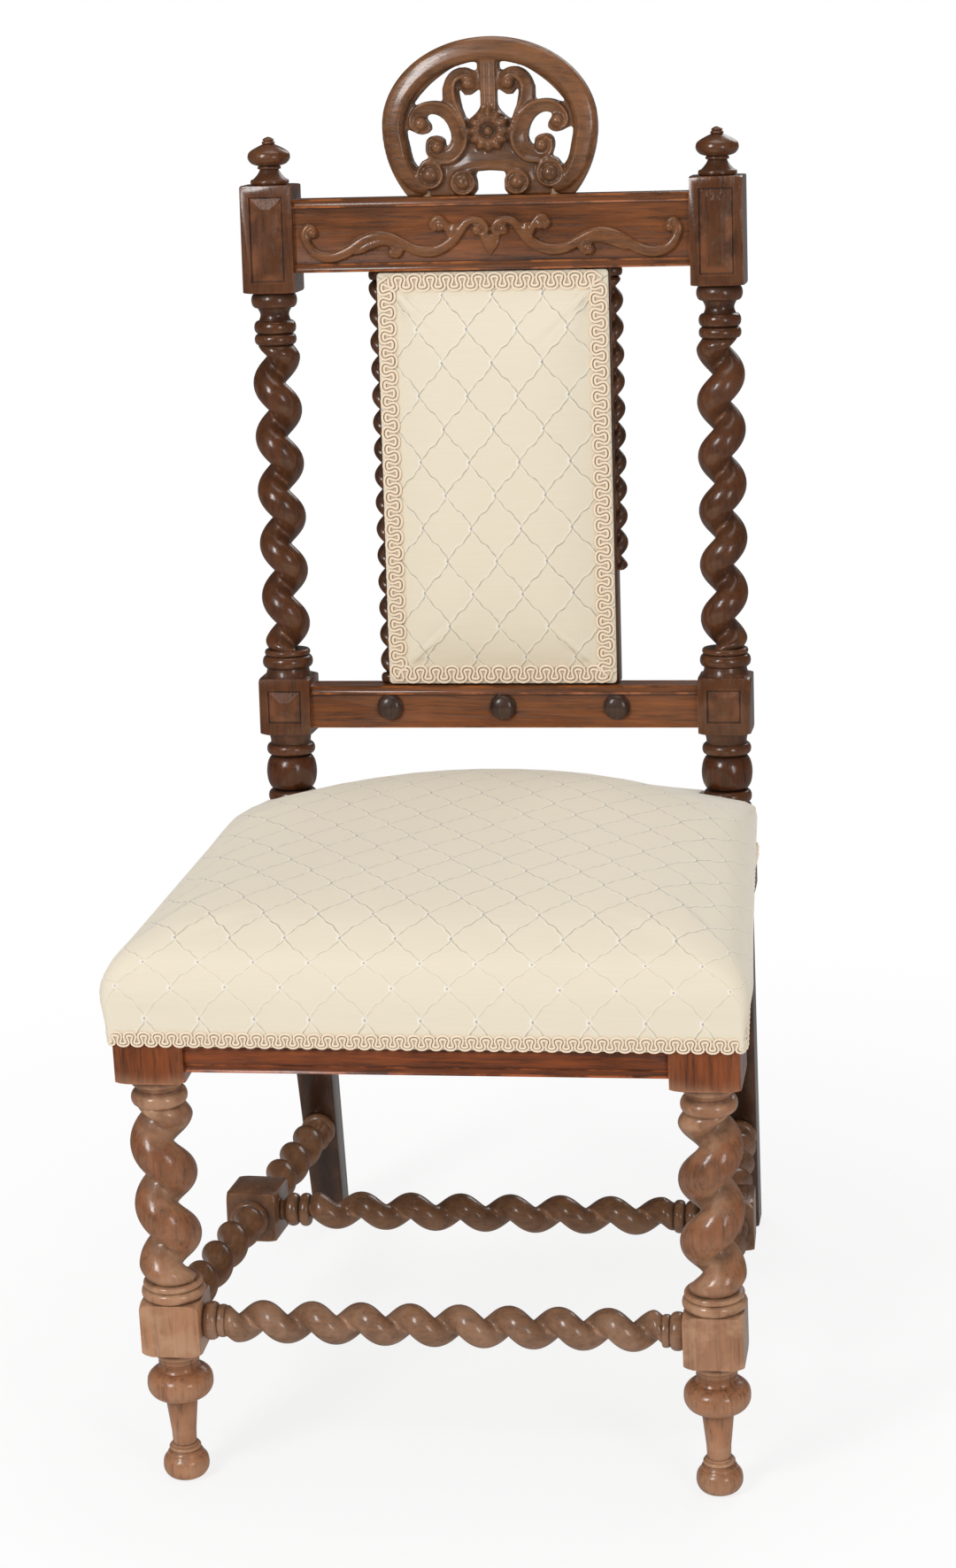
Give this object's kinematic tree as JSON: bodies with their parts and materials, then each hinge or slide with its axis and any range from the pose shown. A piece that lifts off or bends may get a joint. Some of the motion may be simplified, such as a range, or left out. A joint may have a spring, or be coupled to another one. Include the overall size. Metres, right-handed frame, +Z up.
{
  "type": "side chair",
  "caption": "Wooden side chair with twist-turned posts, legs and stretchers, a pierced round crest, an upholstered back panel and a stuffed seat.",
  "frame": {"origin": "on the floor, under the middle of the whole chair's outline", "axes": "+Z up; the chair faces -Y; +X to the right as seen from in front"},
  "size_m": [0.4778, 0.5454, 1.0266],
  "materials": {
    "walnut": "satin polish",
    "walnut_dark": "satin polish",
    "frame_beech": "bare wood",
    "cream_fabric": "woven with a small figured lattice",
    "gimp_braid": "braided",
    "webbing_jute": "coarse weave",
    "hessian": "plain weave"
  },
  "bodies": {
    "root": {"rear_post_left": "walnut_dark", "rear_post_right": "walnut_dark", "finials": "walnut", "top_rail": "walnut", "crest": "walnut", "crest_dowels": "frame_beech", "lower_back_rail": "walnut", "rail_buttons": "walnut", "panel_stile_left": "walnut_dark", "panel_stile_right": "walnut_dark", "panel_rail_upper": "frame_beech", "panel_rail_lower": "frame_beech", "half_twist_strip_left": "walnut", "half_twist_strip_right": "walnut", "back_webbing": "webbing_jute", "back_pad": "cream_fabric", "back_gimp": "gimp_braid", "outside_back_cover": "cream_fabric", "seat_rail_front": "walnut", "seat_rail_back": "walnut_dark", "seat_rail_left": "walnut", "seat_rail_right": "walnut", "corner_blocks_front": "frame_beech", "corner_blocks_back": "frame_beech", "seat_webbing": "webbing_jute", "seat_hessian": "hessian", "seat_pad": "cream_fabric", "seat_cover_skirt": "cream_fabric", "seat_gimp": "gimp_braid", "front_leg_left": "walnut", "front_leg_right": "walnut", "front_stretcher": "walnut", "side_stretcher_left": "walnut", "side_stretcher_right": "walnut", "cross_stretcher": "walnut", "stretcher_pegs": "frame_beech"}
  },
  "joints": []
}
